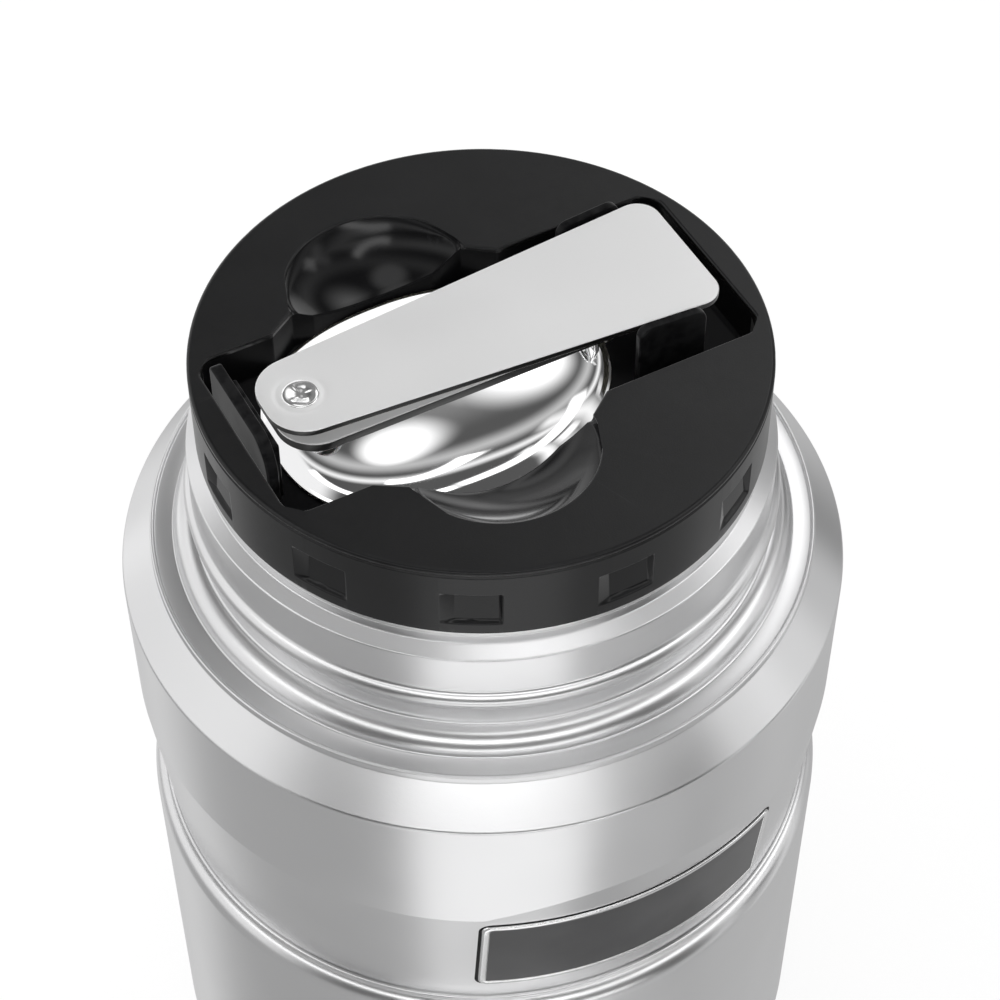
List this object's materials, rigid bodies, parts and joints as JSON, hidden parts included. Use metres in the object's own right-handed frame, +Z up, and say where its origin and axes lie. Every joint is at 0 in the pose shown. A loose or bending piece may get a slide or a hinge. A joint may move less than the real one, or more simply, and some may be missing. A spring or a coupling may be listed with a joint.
{
  "type": "insulated food jar",
  "caption": "Vacuum-insulated steel food jar with a screw-in stopper that holds a folding spoon in a tray on its top.",
  "frame": {"origin": "centre of the flat foot ring at the base, on the surface the jar stands on", "axes": "+Z up along the jar's axis; +X along the folded spoon towards its handle's free end; the badge faces -Y"},
  "size_m": [0.094, 0.094, 0.1388],
  "materials": {
    "shell_steel": "satin",
    "vessel_steel": "satin",
    "foil": "bright",
    "base_steel": "satin",
    "seal_metal": "matt",
    "getter": "matt",
    "base_cover": "satin",
    "badge_steel": "satin",
    "badge_ink": "satin",
    "cap_black": "fine matt grain",
    "tray_black": "gloss",
    "plug_black": "satin",
    "foam": "foam",
    "disc_black": "satin",
    "silicone": "translucent matt",
    "spoon_polish": "mirror polish",
    "rivet_steel": "satin",
    "washer_white": "natural",
    "link_steel": "satin",
    "handle_steel": "satin",
    "rivet_bright": "bright",
    "washer_clear": "natural"
  },
  "bodies": {
    "jar": {"outer_shell": "shell_steel", "inner_vessel": "vessel_steel", "radiation_foil": "foil", "outer_bottom": "base_steel", "vacuum_seal": "seal_metal", "getter_capsule": "getter", "base_cover": "base_cover", "badge_frame": "badge_steel", "badge_inlay": "badge_ink"},
    "seal": {"seal_ring": "silicone"},
    "stopper": {"stopper_cap": "cap_black", "spoon_tray": "tray_black", "plug_body": "plug_black", "foam_insulation": "foam", "plug_bottom": "disc_black"},
    "spoon_bowl_body": {"spoon_bowl": "spoon_polish", "link_rivet": "rivet_steel", "link_washer": "washer_white"},
    "spoon_link_body": {"spoon_link": "link_steel"},
    "spoon_handle_body": {"spoon_handle": "handle_steel", "handle_rivet": "rivet_bright", "handle_washer": "washer_clear"}
  },
  "joints": [
    {"name": "stopper_rise", "type": "slide", "parent": "jar", "child": "seal", "axis": [0, 0, 1], "range_m": [0, 0.03]},
    {"name": "stopper_turn", "type": "hinge", "parent": "seal", "child": "stopper", "pos_m": [0, 0, 0.134], "axis": [0, 0, 1], "range_deg": [0, 1080]},
    {"name": "spoon_lift", "type": "slide", "parent": "stopper", "child": "spoon_bowl_body", "axis": [0, 0, 1], "range_m": [0, 0.15]},
    {"name": "link_fold", "type": "hinge", "parent": "spoon_bowl_body", "child": "spoon_link_body", "pos_m": [0.022, 0, 0.134], "axis": [0, 0, 1], "range_deg": [0, 180]},
    {"name": "handle_fold", "type": "hinge", "parent": "spoon_link_body", "child": "spoon_handle_body", "pos_m": [-0.0239, 0, 0.134], "axis": [0, 0, 1], "range_deg": [-180, 0]}
  ],
  "couplings": [
    {"joint": "stopper_turn", "follows": "stopper_rise", "rad_per_m": 628.32},
    {"joint": "link_fold", "follows": "spoon_lift", "rad_per_m": 20.944},
    {"joint": "handle_fold", "follows": "spoon_lift", "rad_per_m": -20.944}
  ]
}
